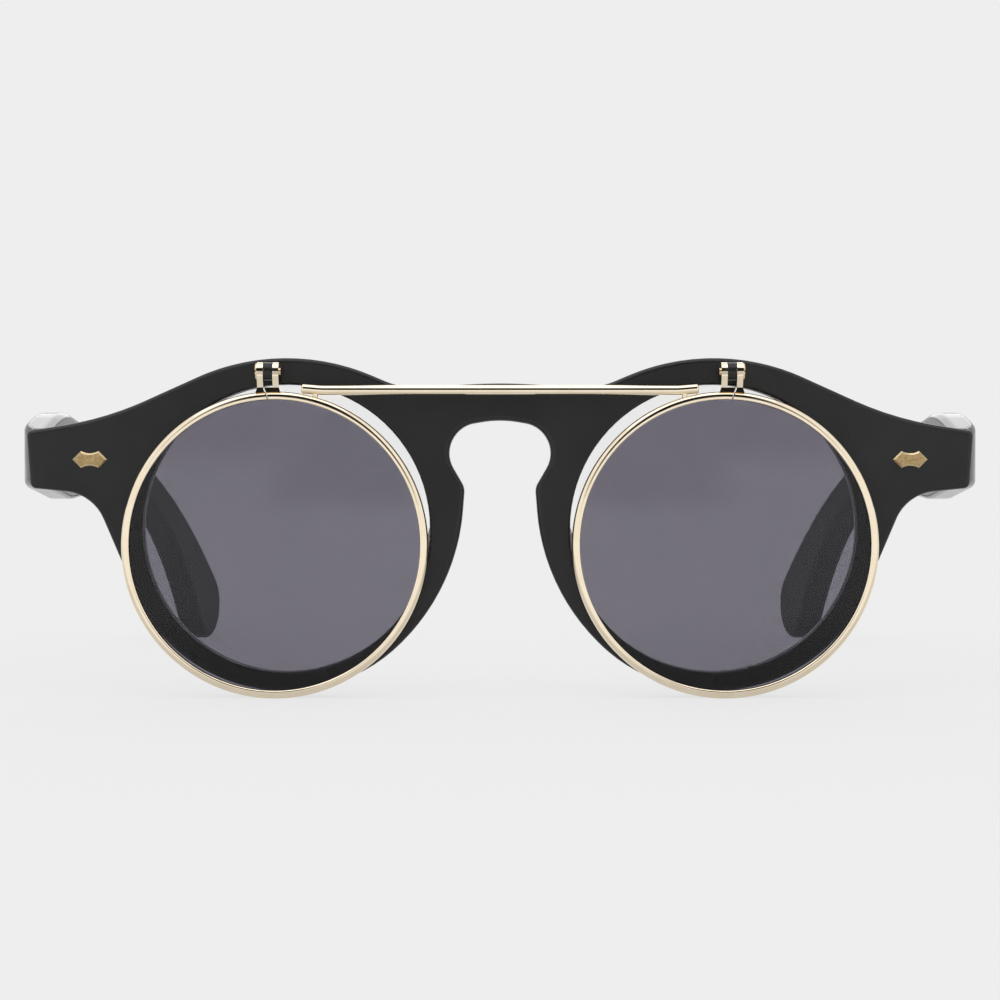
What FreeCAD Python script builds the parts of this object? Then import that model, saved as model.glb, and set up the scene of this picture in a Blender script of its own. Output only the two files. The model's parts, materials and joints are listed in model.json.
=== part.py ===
import FreeCAD, Part
import math
import os
import re
from FreeCAD import Placement, Rotation, Vector

# Flip-up round sunglasses, in millimetres. +Z is up, the front faces -Y, and the temples run to +Y.
# Left and right are the wearer's: left is +X. At rest the temples are open and the flip-up rims are down,
# so the glasses stand on the two flip-up rims and the two temple tips.

DIMENSIONS = {
    # Front: eye openings, rims and brow. A share is a part of the eye's diameter.
    "eye_dia": 44.0,
    "bridge_gap": 21.4,
    "rim_low": 2.85,
    "rim_side": 3.3,
    "rim_high": 4.05,
    "front_thick": 4.4,
    "front_wrap": 1.7,
    "bridge_bend": 180.0,
    "front_lift": 1.0,
    "edge_round": 0.7,
    "eye_edge_round": 0.4,
    "brow_radius_share": 0.7614,
    "brow_fall_in": 23.0,
    "brow_fall_out": 24.2,
    # Front: bridge, keyhole and nose flanks. The keyhole's half widths, radii and drops below its top are
    # shares of bridge_gap, and nose_ease is a part of the largest radius that fits below a flank.
    "bridge_drop_share": 0.0886,
    "bridge_fall": 5.5,
    "bridge_radius_share": 1.8182,
    "bridge_hollow_share": 0.3182,
    "nose_fall": 45.0,
    "nose_ease": 0.97,
    "flank_fall": 4.5,
    "neck_half_share": 0.2523,
    "neck_drop_share": 0.4907,
    "neck_radius_share": 0.1215,
    "keyhole_half_share": 0.398,
    "keyhole_drop_share": 0.2383,
    "keyhole_radius_share": 0.21,
    "crown_half_share": 0.2757,
    "crown_drop_share": 0.0467,
    "crown_top_share": 0.3795,
    "crown_radius_share": 0.7477,
    "pad_half": 6.0,
    "pad_drop": 9.3,
    "pad_wide": 3.0,
    "pad_flat": 0.06,
    "pad_deep": 4.4,
    "pad_curve": 7.8,
    "pad_round": 1.1,
    "pad_margin": 0.05,
    "pad_root": 0.9,
    "pad_splay": 16.0,
    "pad_lean": 12.5,
    # Front: endpieces
    "end_reach_share": 0.408,
    "end_top_share": 0.3386,
    "end_tall_share": 0.1989,
    "end_lean": 0.6,
    "end_fall_top": 8.8,
    "end_fall_low": 5.6,
    "end_hollow_share": 1.1591,
    "end_corner": 0.95,
    "end_armpit_share": 0.1591,
    "rim_fall": 23.2,
    # Clear lenses
    "lens_thick": 1.8,
    "lens_curve": 265.0,
    "lens_tongue": 1.1,
    "lens_grip": 0.6,
    "lens_set_back": 2.4,
    "lens_play": 0.1,
    # Rivet plaques
    "plaque_wide": 5.3,
    "plaque_tall": 2.6,
    "plaque_waist": 0.35,
    "plaque_flat": 2.7,
    "plaque_thick": 0.85,
    "plaque_sunk": 0.35,
    "plaque_bevel": 0.25,
    "plaque_inset": 9.85,
    "rivet_dia": 0.9,
    "rivet_pitch": 2.6,
    # Temple hinges
    "leaf_thick": 1.0,
    "leaf_tall": 6.6,
    "leaf_long": 8.6,
    "leaf_margin": 0.8,
    "barrel_dia": 2.8,
    "barrel_back": 1.75,
    "barrel_side_gap": 0.2,
    "barrel_play": 0.08,
    "hinge_pin_dia": 1.1,
    "hinge_head_dia": 2.1,
    "hinge_head_tall": 0.5,
    # Temples. A share is a part of the hinge's height above the table.
    "temple_thick": 4.8,
    "temple_gap": 0.25,
    "temple_inset": -2.25,
    "temple_high": 7.75,
    "temple_low": 7.05,
    "temple_end_tall": 8.5,
    "temple_crest": 18.0,
    "temple_belly": 27.0,
    "crest_radius": 50.0,
    "cheek_radius": 15.0,
    "cheek_deep": 2.25,
    "temple_fall": 6.45,
    "temple_lift": 2.5,
    "temple_reach": 141.5,
    "temple_rise": 0.35,
    "temple_round": 1.2,
    "bow_start": 28.5,
    "bow_radius": 511.0,
    "ear_fall": 46.65,
    "ear_taper": 6.9,
    "ear_top_share": 3.27,
    "ear_low_share": 1.8,
    "tip_radius": 6.7,
    # Flip-up rims and lenses
    "flip_over": 2.7,
    "flip_out": 1.58,
    "flip_behind_pin": 0.25,
    "wire_wide": 1.27,
    "wire_deep": 1.8,
    "wire_round": 0.3,
    "wire_crown": 0.7,
    "flip_lens_thick": 1.5,
    "flip_lens_curve": 400.0,
    "flip_lens_tongue": 0.9,
    "flip_lens_grip": 0.4,
    "groove_play": 0.05,
    "rim_slit": 0.2,
    "slit_lean": 20.0,
    # Flip-up hinges
    "hinge_out": 0.93,
    "pin_rise": 3.06,
    "pin_ahead": 2.3,
    "pin_dia": 1.0,
    "pin_play": 0.05,
    "knuckle_dia": 2.7,
    "boss_wide": 1.3,
    "boss_root_tall": 2.16,
    "lug_wide": 0.92,
    "lug_play": 0.07,
    "fork_floor": 0.66,
    "fork_flare": 0.6,
    "foot_rake": 12.0,
    "screw_head_dia": 2.4,
    "screw_head_tall": 0.34,
    "screw_tail": 0.25,
    "slot_wide": 0.3,
    "slot_deep": 0.16,
    "head_round": 0.2,
    # Brow bar
    "bar_dia": 1.5,
    "bar_rise": 0.22,
    "bar_inset": 4.1,
    "bar_end_long": 3.0,
    "bar_end_lift": 0.25,
    "bar_end_radius": 12.0,
    "post_inset": 6.2,
    "post_dia": 0.8,
    # Shared fits
    "press_play": 0.03,
}

SIDES = {"left": 1, "right": -1}

doc = FreeCAD.newDocument("flip_up_sunglasses")
sheet = doc.addObject("Spreadsheet::Sheet", "dims")
for row, (alias, number) in enumerate(DIMENSIONS.items(), start=1):
    sheet.set(f"A{row}", alias)
    sheet.set(f"B{row}", str(number))
    sheet.setAlias(f"B{row}", alias)
doc.recompute()


def size(formula):
    """Value of a formula over the sheet's names."""
    return float(sheet.evalExpression(formula))


def of_eye(name):
    """Length of a feature that is given as a share of the eye opening's diameter."""
    return size(f"eye_dia * {name}_share")


def of_bridge(name):
    """Length of a feature that is given as a share of the gap between the eye openings."""
    return size(f"bridge_gap * {name}_share")


def linked(formula):
    """The same formula with each name pointing into the sheet, for a bound property."""
    return re.sub(r"[a-z_]+", r"dims.\g<0>", formula)


# Plane geometry: points are (u, v) pairs, lines are (point, direction) pairs.


def line_through(point, degrees):
    """Line through a point at an angle from the u axis."""
    angle = math.radians(degrees)
    return point, (math.cos(angle), math.sin(angle))


def tangent(centre, radius, degrees):
    """Line that touches a circle where its outward normal points at an angle."""
    angle = math.radians(degrees)
    touch = (centre[0] + radius * math.cos(angle), centre[1] + radius * math.sin(angle))
    return line_through(touch, degrees + 90.0)


def meet(first, second):
    """Point where two lines cross."""
    (px, py), (dx, dy) = first
    (qx, qy), (ex, ey) = second
    along = ((qx - px) * ey - (qy - py) * ex) / (dx * ey - dy * ex)
    return px + along * dx, py + along * dy


def corner_sides(points, index):
    """Directions from a corner back and ahead along its sides."""
    here = points[index]
    back = (points[index - 1] - here).normalize()
    ahead = (points[(index + 1) % len(points)] - here).normalize()
    return back, ahead


def corner_runs(points, radii):
    """Length of side that each corner's rounding takes, cut back where two share a short side."""
    runs = []
    for index, radius in enumerate(radii):
        back, ahead = corner_sides(points, index)
        runs.append(radius / math.tan(back.getAngle(ahead) / 2))
    for index, here in enumerate(points):
        following = (index + 1) % len(points)
        room = here.distanceToPoint(points[following])
        short, long = sorted((index, following), key=lambda corner: runs[corner])
        runs[short] = min(runs[short], room / 2)
        runs[long] = min(runs[long], room - runs[short])
    return runs


def rounded_outline(corners):
    """Closed chain of straight runs and tangent arcs from ((u, v), radius) corners."""
    points = [Vector(u, v, 0) for (u, v), radius in corners]
    runs = corner_runs(points, [radius for _, radius in corners])
    starts, ends, arcs = [], [], []
    for index, run in enumerate(runs):
        here = points[index]
        back, ahead = corner_sides(points, index)
        if run <= 0:
            starts.append(here)
            ends.append(here)
            arcs.append(None)
            continue
        half = back.getAngle(ahead) / 2
        radius = run * math.tan(half)
        middle = here + (back + ahead).normalize() * (radius / math.sin(half) - radius)
        starts.append(here + back * run)
        ends.append(here + ahead * run)
        arcs.append(Part.Arc(starts[-1], middle, ends[-1]))
    chain = []
    for index, arc in enumerate(arcs):
        if arc is not None:
            chain.append(arc)
        leave, arrive = ends[index], starts[(index + 1) % len(starts)]
        if leave.distanceToPoint(arrive) > 1e-6:
            chain.append(Part.LineSegment(leave, arrive))
    return chain


def span(side, first, second):
    """Lower end of a run in X between two outward distances."""
    return min(side * first, side * second)


# Document objects.

PLANES = {
    "plan": Rotation(),
    "front": Rotation(Vector(1, 0, 0), 90),
    "side": Rotation(Vector(1, 1, 1), 120),
}


def sketch_on(plane, name, geometry):
    """Sketch on the plan (X, Y), front (X, Z) or side (Y, Z) plane through the origin."""
    drawn = doc.addObject("Sketcher::SketchObject", name)
    drawn.Placement = Placement(Vector(), PLANES[plane])
    drawn.addGeometry(geometry, False)
    return drawn


def prism(name, drawn, direction, length, start=0.0):
    """Solid swept from a sketch along a direction, its length bound to a formula."""
    solid = doc.addObject("Part::Extrusion", name)
    solid.Base = drawn
    solid.DirMode = "Custom"
    solid.Dir = direction
    solid.Solid = True
    solid.setExpression("LengthFwd", linked(length))
    solid.Placement.Base = direction * start
    return solid


def bind(item, **formulas):
    """Binds properties of an object to formulas over the sheet."""
    for prop, formula in formulas.items():
        item.setExpression(prop, linked(formula))
    return item


def block(name, corner, length, width, height):
    """Box with its sides bound to formulas, its low corner at a point."""
    item = doc.addObject("Part::Box", name)
    item.Placement.Base = Vector(*corner)
    return bind(item, Length=length, Width=width, Height=height)


ALONG = {
    "x": Rotation(Vector(0, 1, 0), 90),
    "y": Rotation(Vector(1, 0, 0), -90),
    "z": Rotation(),
}


def rod(name, axis, start, radius, length):
    """Cylinder along an axis from a start point, radius and length bound to formulas."""
    item = doc.addObject("Part::Cylinder", name)
    item.Placement = Placement(Vector(*start), ALONG[axis])
    return bind(item, Radius=radius, Height=length)


def cut(name, base, *tools):
    """Base less the tools."""
    item = doc.addObject("Part::Cut", name)
    item.Base = base
    item.Tool = tools[0] if len(tools) == 1 else fuse(f"{name}_tools", *tools)
    return item


def fuse(name, *items):
    """Union of solids."""
    item = doc.addObject("Part::MultiFuse", name)
    item.Shapes = list(items)
    item.Refine = True
    return item


def common(name, first, second):
    """Intersection of two solids."""
    item = doc.addObject("Part::Common", name)
    item.Base = first
    item.Tool = second
    return item


def round_edges(name, base, radius_at):
    """Rounds each edge of a solid by the radius that radius_at gives for it (None leaves it)."""
    doc.recompute()
    chosen = []
    for number, edge in enumerate(base.Shape.Edges, start=1):
        radius = radius_at(edge)
        if radius:
            chosen.append((number, radius, radius))
    item = doc.addObject("Part::Fillet", name)
    item.Base = base
    item.Edges = chosen
    return item


def body_sketch(body, name, plane, geometry):
    """Sketch on an origin plane of a body."""
    drawn = body.newObject("Sketcher::SketchObject", name)
    support = next(item for item in body.Origin.OriginFeatures if item.Role == plane)
    drawn.AttachmentSupport = [(support, "")]
    drawn.MapMode = "FlatFace"
    drawn.addGeometry(geometry, False)
    return drawn


def turned_body(name, geometry):
    """Body turned about its own Z axis from a section in (radius, height)."""
    body = doc.addObject("PartDesign::Body", name)
    section = body_sketch(body, f"{name}_section", "XZ_Plane", geometry)
    turn = body.newObject("PartDesign::Revolution", f"{name}_turn")
    turn.Profile = section
    turn.ReferenceAxis = (section, ["V_Axis"])
    turn.Angle = 360
    return body


def slot_in(body, name, plane, geometry, depth):
    """Pocket through a body on both sides of one of its origin planes."""
    drawn = body_sketch(body, f"{name}_outline", plane, geometry)
    pocket = body.newObject("PartDesign::Pocket", name)
    pocket.Profile = drawn
    pocket.SideType = "Symmetric"
    bind(pocket, Length=depth)
    return pocket


def polygon(*points):
    """Closed chain of straight edges."""
    return rounded_outline([(point, 0) for point in points])


# Derived positions. Depths are measured back from the front of the bridge, then moved by front_y.

eye_x = size("(eye_dia + bridge_gap) / 2")
eye_r = size("eye_dia / 2")
eye_z = size("front_lift + rim_low + eye_dia / 2")
rim_r = size("eye_dia / 2 + rim_low")
brow_z = size("front_lift + rim_low + eye_dia + rim_high")
half_width = eye_x + eye_r + of_eye("end_reach")
end_z = eye_z + of_eye("end_top") - of_eye("end_tall") / 2
keyhole_z = eye_z + of_eye("crown_top")

ring_r = size("(eye_dia + flip_over) / 2")
ring_inner_r = ring_r - size("wire_wide")
ring_x = eye_x + size("flip_out")
ring_z = ring_r
pin_x = ring_x + size("hinge_out")
pin_z = 2 * ring_r + size("pin_rise")


def wrapped(x, bend):
    """Depth at a distance from the middle of a face that bends round the bridge, then runs straight."""
    wrap = math.radians(size("front_wrap"))
    reach = bend * math.sin(wrap)
    if abs(x) < reach:
        return bend - math.sqrt(bend * bend - x * x)
    return bend * (1 - math.cos(wrap)) + (abs(x) - reach) * math.tan(wrap)


def face_depth(x):
    """Depth of the front's front face behind the front of the bridge."""
    return wrapped(x, size("bridge_bend"))


def back_depth(x):
    """Depth of the front's back face behind the front of the bridge."""
    return size("front_thick") + wrapped(x, size("bridge_bend - front_thick"))


pin_depth = face_depth(pin_x) - size("pin_ahead")
front_reach = size("knuckle_dia / 2") - pin_depth
front_y = (front_reach - size("temple_reach")) / 2
pin_y = front_y + pin_depth
ring_y = pin_y + size("flip_behind_pin")
bar_z = 2 * ring_r + size("bar_rise")

temple_in_x = half_width - size("temple_inset + temple_thick")
barrel_x = temple_in_x - size("barrel_side_gap + barrel_dia / 2")
plaque_x = half_width - size("plaque_inset")

# The front hinge plate spans from inside the plaque's rivets to just past the middle of its barrels.
LEAF_MARGIN = "rivet_pitch / 2 + rivet_dia + leaf_margin"
BARREL_INSET = "temple_inset + temple_thick + barrel_side_gap + barrel_dia * 3 / 8"
LEAF_WIDE = f"plaque_inset + {LEAF_MARGIN} - ({BARREL_INSET})"
leaf_in_x = plaque_x - size(LEAF_MARGIN)
leaf_out_x = leaf_in_x + size(LEAF_WIDE)
leaf_y = front_y + back_depth(barrel_x)
barrel_y = leaf_y + size("barrel_back")


def front_outline():
    """Outline of the front: brow, endpieces, rims and the keyhole between them."""
    eye = (eye_x, eye_z)
    brow = (eye_x, brow_z - of_eye("brow_radius"))
    brow_in = tangent(brow, of_eye("brow_radius"), 90 + size("brow_fall_in"))
    brow_out = tangent(brow, of_eye("brow_radius"), 90 - size("brow_fall_out"))
    fall = math.radians(size("bridge_fall"))
    bridge_peak = brow_z - of_eye("bridge_drop") + of_eye("bridge_radius") * (1 / math.cos(fall) - 1)
    bridge_top = (0, bridge_peak)
    bridge_side = line_through(bridge_top, -size("bridge_fall"))
    end_high = (half_width, eye_z + of_eye("end_top"))
    end_low = (half_width - size("end_lean"), eye_z + of_eye("end_top") - of_eye("end_tall"))
    end_upper = line_through(end_high, 180 - size("end_fall_top"))
    end_lower = line_through(end_low, 180 + size("end_fall_low"))
    rim_out = tangent(eye, eye_r + size("rim_side"), -size("rim_fall"))
    rim_low = tangent(eye, rim_r, -90)
    rim_in = tangent(eye, rim_r, 180 + size("nose_fall"))
    neck = (of_bridge("neck_half"), keyhole_z - of_bridge("neck_drop"))
    flank = line_through(neck, size("flank_fall") - 90)
    keyhole = (of_bridge("keyhole_half"), keyhole_z - of_bridge("keyhole_drop"))
    crown = (of_bridge("crown_half"), keyhole_z - of_bridge("crown_drop"))
    rim_foot, nose = meet(rim_low, rim_in), meet(rim_in, flank)
    rim_run = rim_r * math.tan(math.radians(90 - size("nose_fall")) / 2)
    nose_turn = math.radians(size("nose_fall - flank_fall"))
    nose_room = min(math.dist(rim_foot, nose) - rim_run, math.dist(neck, nose) - of_bridge("neck_radius"))
    nose_r = size("nose_ease") * nose_room / math.tan(nose_turn / 2)
    half = [
        (meet(bridge_side, brow_in), of_eye("bridge_hollow")),
        (meet(brow_in, brow_out), of_eye("brow_radius")),
        (meet(brow_out, end_upper), of_eye("end_hollow")),
        (end_high, size("end_corner")),
        (end_low, size("end_corner")),
        (meet(end_lower, rim_out), of_eye("end_armpit")),
        (meet(rim_out, rim_low), rim_r),
        (rim_foot, rim_r),
        (nose, nose_r),
        (neck, of_bridge("neck_radius")),
        (keyhole, of_bridge("keyhole_radius")),
        (crown, of_bridge("keyhole_radius")),
    ]
    mirrored = [((-u, v), radius) for (u, v), radius in reversed(half)]
    keyhole_top = ((0, keyhole_z), of_bridge("crown_radius"))
    return [(bridge_top, of_eye("bridge_radius")), *half, keyhole_top, *mirrored]


def square_to_wing(side, depth):
    """Place at an eye's middle, a depth behind the front face, with local Z square to the wing."""
    square = Rotation(Vector(0, 0, 1), side * size("front_wrap")) * ALONG["y"]
    face = Vector(side * eye_x, front_y + face_depth(eye_x), eye_z)
    return Placement(face + square.multVec(Vector(0, 0, depth)), square)


def eye_rod(name, side, depth, radius, length):
    """Cylinder through the middle of an eye opening, square to the front's wing."""
    item = doc.addObject("Part::Cylinder", name)
    item.Placement = square_to_wing(side, depth)
    return bind(item, Radius=radius, Height=length)


def front_plan():
    """Plan of the front: two straight wings that meet in a bend at the bridge."""
    wrap = math.radians(size("front_wrap"))
    bend, thick = size("bridge_bend"), size("front_thick")
    fore = front_y - bend * (1 / math.cos(wrap) - 1)
    aft = fore + thick / math.cos(wrap)
    reach = half_width * 1.2
    back = reach * math.tan(wrap)
    return [
        ((-reach, fore + back), 0),
        ((0, fore), bend),
        ((reach, fore + back), 0),
        ((reach, aft + back), 0),
        ((0, aft), bend - thick),
        ((-reach, aft + back), 0),
    ]


def build_front():
    """Front with eye openings, lens grooves, nose pads, flip hinge bosses and hinge seats."""
    drawn = sketch_on("front", "front_outline", rounded_outline(front_outline()))
    plate = prism("front_plate", drawn, Vector(0, 1, 0), "front_thick * 4", front_y - size("front_thick"))
    plan = sketch_on("plan", "front_plan", rounded_outline(front_plan()))
    shell = common("front_shell", plate, prism("front_wings", plan, Vector(0, 0, 1), "eye_dia * 2"))
    openings = [
        eye_rod(f"{name}_eye_opening", side, -size("front_thick"), "eye_dia / 2", "front_thick * 3")
        for name, side in SIDES.items()
    ]
    blank = cut("front_blank", shell, *openings)
    bend_reach = size("bridge_bend") * math.sin(math.radians(size("front_wrap"))) + 1e-3

    def radius_at(edge):
        middle = edge.valueAt((edge.FirstParameter + edge.LastParameter) / 2)
        faces = (face_depth(middle.x), back_depth(middle.x))
        if min(abs(middle.y - front_y - face) for face in faces) > 1e-4:
            return None
        if math.hypot(abs(middle.x) - eye_x, middle.z - eye_z) < (eye_r + rim_r) / 2:
            return size("eye_edge_round")
        on_bend = abs(middle.x) < bend_reach and abs(edge.tangentAt(edge.FirstParameter).z) > 0.9999
        return None if on_bend else size("edge_round")

    solids = [round_edges("front_rounded", blank, radius_at)]
    cuts = []
    for name, side in SIDES.items():
        solids.append(nose_pad(name, side))
        solids.append(hinge_boss(name, side))
        cuts.extend(front_cuts(name, side))
    front = cut("front_frame", fuse("front_joined", *solids), *cuts)
    front.Label = "front_frame"
    return front


def nose_pad(name, side):
    """Moulded pad behind a nose flank: a strip along the flank, splayed backward and rounded over."""
    lean = math.radians(size("pad_lean"))
    down = Vector(math.sin(lean), -math.cos(lean), 0)
    out = Vector(math.cos(lean), math.sin(lean), 0)
    neck = Vector(of_bridge("neck_half"), keyhole_z - of_bridge("neck_drop"), 0)
    centre = neck + down * size("pad_drop") + out * size("pad_margin + pad_wide / 2")
    ends = [(-1, -1), (1, -1), (1, 1), (-1, 1)]
    end, edge = down * size("pad_half"), out * size("pad_wide / 2")
    points = [centre + end * along + edge * across for along, across in ends]
    corners = [((side * point.x, point.y), size("(pad_wide - pad_flat) / 2")) for point in points]
    drawn = sketch_on("front", f"{name}_pad_outline", rounded_outline(corners))
    splay = math.radians(size("pad_splay"))
    outward = Vector(side * math.sin(splay), math.cos(splay), 0)
    strip = prism(f"{name}_pad_strip", drawn, outward, "pad_deep * 3")
    pad_y = front_y + back_depth(centre.x)
    strip.Placement.Base = Vector(0, pad_y - size("pad_root"), 0)
    start_x = side * centre.x - size("pad_deep * 2")
    hump_start = (start_x, pad_y + size("pad_deep - pad_curve"), centre.y)
    hump = rod(f"{name}_pad_hump", "x", hump_start, "pad_curve", "pad_deep * 4")
    blank = common(f"{name}_pad_blank", strip, hump)

    def radius_at(edge):
        middle = edge.valueAt((edge.FirstParameter + edge.LastParameter) / 2)
        reach = math.hypot(middle.y - hump_start[1], middle.z - hump_start[2])
        return size("pad_round") if abs(reach - size("pad_curve")) < 1e-3 else None

    return round_edges(f"{name}_pad", blank, radius_at)


def hinge_boss(name, side):
    """Knuckle on the brow between the two lugs of a flip-up rim."""
    low_x = side * pin_x - size("boss_wide / 2")
    knuckle = rod(f"{name}_boss_knuckle", "x", (low_x, pin_y, pin_z), "knuckle_dia / 2", "boss_wide")
    corner = (low_x, pin_y, pin_z - size("knuckle_dia / 2"))
    root = block(f"{name}_boss_root", corner, "boss_wide", "pin_ahead + front_thick / 3", "boss_root_tall")
    return fuse(f"{name}_boss", knuckle, root)


def front_cuts(name, side):
    """Lens groove, flip pin hole, plaque seat, rivet holes and hinge seat of one side."""
    groove_depth = size("lens_set_back - lens_tongue / 2 - lens_play")
    groove_r = "eye_dia / 2 + lens_grip + lens_play"
    groove = eye_rod(f"{name}_lens_groove", side, groove_depth, groove_r, "lens_tongue + 2 * lens_play")
    pin_start = (side * pin_x - size("boss_wide"), pin_y, pin_z)
    pin_hole = rod(f"{name}_boss_hole", "x", pin_start, "pin_dia / 2 + pin_play", "boss_wide * 2")
    seat = sketch_on("front", f"{name}_seat_outline", plaque_outline(side * plaque_x, end_z, "press_play"))
    seat_start = front_y + face_depth(plaque_x) + size("plaque_sunk - plaque_thick * 2")
    plaque_seat = prism(f"{name}_plaque_seat", seat, Vector(0, 1, 0), "plaque_thick * 2", seat_start)
    cuts = [groove, pin_hole, plaque_seat]
    for step in (-1, 1):
        start = (side * plaque_x + step * size("rivet_pitch / 2"), front_y, end_z)
        hole_r = "rivet_dia / 2 + press_play"
        cuts.append(rod(f"{name}_rivet_hole_{step + 1}", "y", start, hole_r, "front_thick * 3"))
    play = size("press_play")
    near_x = span(side, leaf_in_x, leaf_out_x) - play
    corner = (near_x, leaf_y - size("leaf_thick") - play, end_z - size("leaf_tall / 2") - play)
    wide = f"{LEAF_WIDE} + 2 * press_play"
    cuts.append(block(f"{name}_leaf_seat", corner, wide, "leaf_thick * 4", "leaf_tall + 2 * press_play"))
    return cuts


def plaque_outline(middle_x, middle_z, grow="0"):
    """Six-sided plaque outline with hollow upper and lower edges."""
    extra = size(grow)
    half, high = size("plaque_wide / 2") + extra, size("plaque_tall / 2") + extra
    flat = size("plaque_flat / 2")
    dip = high - size("plaque_waist")

    def at(u, v):
        return Vector(middle_x + u, middle_z + v, 0)

    return [
        Part.LineSegment(at(-half, 0), at(-flat, high)),
        Part.Arc(at(-flat, high), at(0, dip), at(flat, high)),
        Part.LineSegment(at(flat, high), at(half, 0)),
        Part.LineSegment(at(half, 0), at(flat, -high)),
        Part.Arc(at(flat, -high), at(0, -dip), at(-flat, -high)),
        Part.LineSegment(at(-flat, -high), at(-half, 0)),
    ]


def build_plaque(name, side):
    """Bevelled plaque with two rivet pins that reach through to the hinge plate."""
    label = f"{name}_rivet_plaque"
    body = doc.addObject("PartDesign::Body", label)
    plate = body.newObject("PartDesign::Pad", f"{label}_plate")
    plate.Profile = body_sketch(body, f"{label}_outline", "XZ_Plane", plaque_outline(0, 0))
    bind(plate, Length="plaque_thick")
    pins = body.newObject("PartDesign::Pad", f"{label}_pins")
    circles = [
        Part.Circle(Vector(step * size("rivet_pitch / 2"), 0, 0), Vector(0, 0, 1), size("rivet_dia / 2"))
        for step in (-1, 1)
    ]
    pins.Profile = body_sketch(body, f"{label}_pin_circles", "XZ_Plane", circles)
    pins.Reversed = True
    seat_y = front_y + face_depth(plaque_x) + size("plaque_sunk")
    pins.Length = leaf_y - seat_y
    doc.recompute()
    front_edges = [
        f"Edge{number}"
        for number, edge in enumerate(pins.Shape.Edges, start=1)
        if all(abs(vertex.Y + size("plaque_thick")) < 1e-6 for vertex in edge.Vertexes)
    ]
    bevel = body.newObject("PartDesign::Chamfer", f"{label}_bevel")
    bevel.Base = (pins, front_edges)
    bind(bevel, Size="plaque_bevel")
    body.Tip = bevel
    body.Placement.Base = Vector(side * plaque_x, seat_y, end_z)
    return body


def lens_section(radius, thick, curve, tongue, grip, play):
    """Half section of a lens: (radius, depth) with the bulge to negative depth."""
    edge_r = radius - play
    bulge = curve - math.sqrt(curve * curve - edge_r * edge_r)
    front, back = -thick / 2, thick / 2
    half = tongue / 2
    grip_r = radius + grip

    def at(u, v):
        return Vector(u, v, 0)

    def bow(face, start, end):
        middle_r = edge_r / 2
        middle = face - bulge + curve - math.sqrt(curve * curve - middle_r * middle_r)
        return Part.Arc(start, at(middle_r, middle), end)

    rim = [(edge_r, front), (edge_r, -half), (grip_r, -half), (grip_r, half), (edge_r, half), (edge_r, back)]
    walls = [Part.LineSegment(at(*first), at(*second)) for first, second in zip(rim, rim[1:])]
    front_middle, back_middle = at(0, front - bulge), at(0, back - bulge)
    return [
        bow(front, front_middle, at(edge_r, front)),
        *walls,
        bow(back, at(edge_r, back), back_middle),
        Part.LineSegment(back_middle, front_middle),
    ]


def build_lenses(name, side):
    """Clear lens in the front and tinted lens in the flip-up rim."""
    clear_terms = ("lens_thick", "lens_curve", "lens_tongue", "lens_grip", "lens_play")
    clear_sizes = [size(term) for term in clear_terms]
    clear = turned_body(f"{name}_clear_lens", lens_section(eye_r, *clear_sizes))
    clear.Placement = square_to_wing(side, size("lens_set_back"))
    tint_terms = ("flip_lens_thick", "flip_lens_curve", "flip_lens_tongue", "flip_lens_grip", "groove_play")
    tint_sizes = [size(term) for term in tint_terms]
    tinted = turned_body(f"{name}_tinted_lens", lens_section(ring_inner_r, *tint_sizes))
    tinted.Placement = Placement(Vector(side * ring_x, ring_y, ring_z), ALONG["y"])
    return [clear, tinted]


def slit_line(side):
    """Foot and direction of the leaning cut under a hinge, in (x, z) from the rim's centre."""
    lean = math.radians(size("slit_lean"))
    return Vector(side * size("hinge_out"), ring_inner_r, 0), Vector(side * math.sin(lean), math.cos(lean), 0)


def build_rim(name, side):
    """Grooved wire rim, cut through under its hinge."""
    label = f"{name}_flip_rim"
    half = size("wire_deep / 2")
    groove = size("flip_lens_tongue / 2 + groove_play")
    groove_r = ring_inner_r + size("flip_lens_grip + groove_play")
    soft = size("wire_round")
    section = [
        ((ring_inner_r, -half), soft),
        ((ring_r, -half), size("wire_crown")),
        ((ring_r, half), soft),
        ((ring_inner_r, half), soft),
        ((ring_inner_r, groove), 0),
        ((groove_r, groove), 0),
        ((groove_r, -groove), 0),
        ((ring_inner_r, -groove), 0),
    ]
    rim = turned_body(label, rounded_outline(section))
    foot, along = slit_line(side)
    across = Vector(along.y, -along.x, 0) * size("rim_slit / 2")
    low, high = foot - along, foot + along * size("wire_wide * 3")
    slit = [(point.x, -point.y) for point in (low - across, low + across, high + across, high - across)]
    slot_in(rim, f"{label}_slit", "XY_Plane", polygon(*slit), "wire_deep * 2")
    rim.Placement = Placement(Vector(side * ring_x, ring_y, ring_z), ALONG["y"])
    return rim


def fork_front_outline(side):
    """Front view of a hinge's two lugs and the flared foot that joins them to the rim."""
    inner = size("boss_wide / 2 + lug_play")
    outer = inner + size("lug_wide")
    top = pin_z + size("knuckle_dia / 2")
    rim_top = 2 * ring_r
    half = [
        ((inner, rim_top + size("fork_floor")), 0),
        ((inner, top), 0),
        ((outer, top), 0),
        ((outer, rim_top + size("fork_flare")), size("fork_flare")),
        ((outer + size("fork_flare"), rim_top - size("wire_wide")), 0),
    ]
    mirrored = [((-u, v), radius) for (u, v), radius in reversed(half)]
    return [((side * pin_x + u, v), radius) for (u, v), radius in [*half, *mirrored]]


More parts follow.
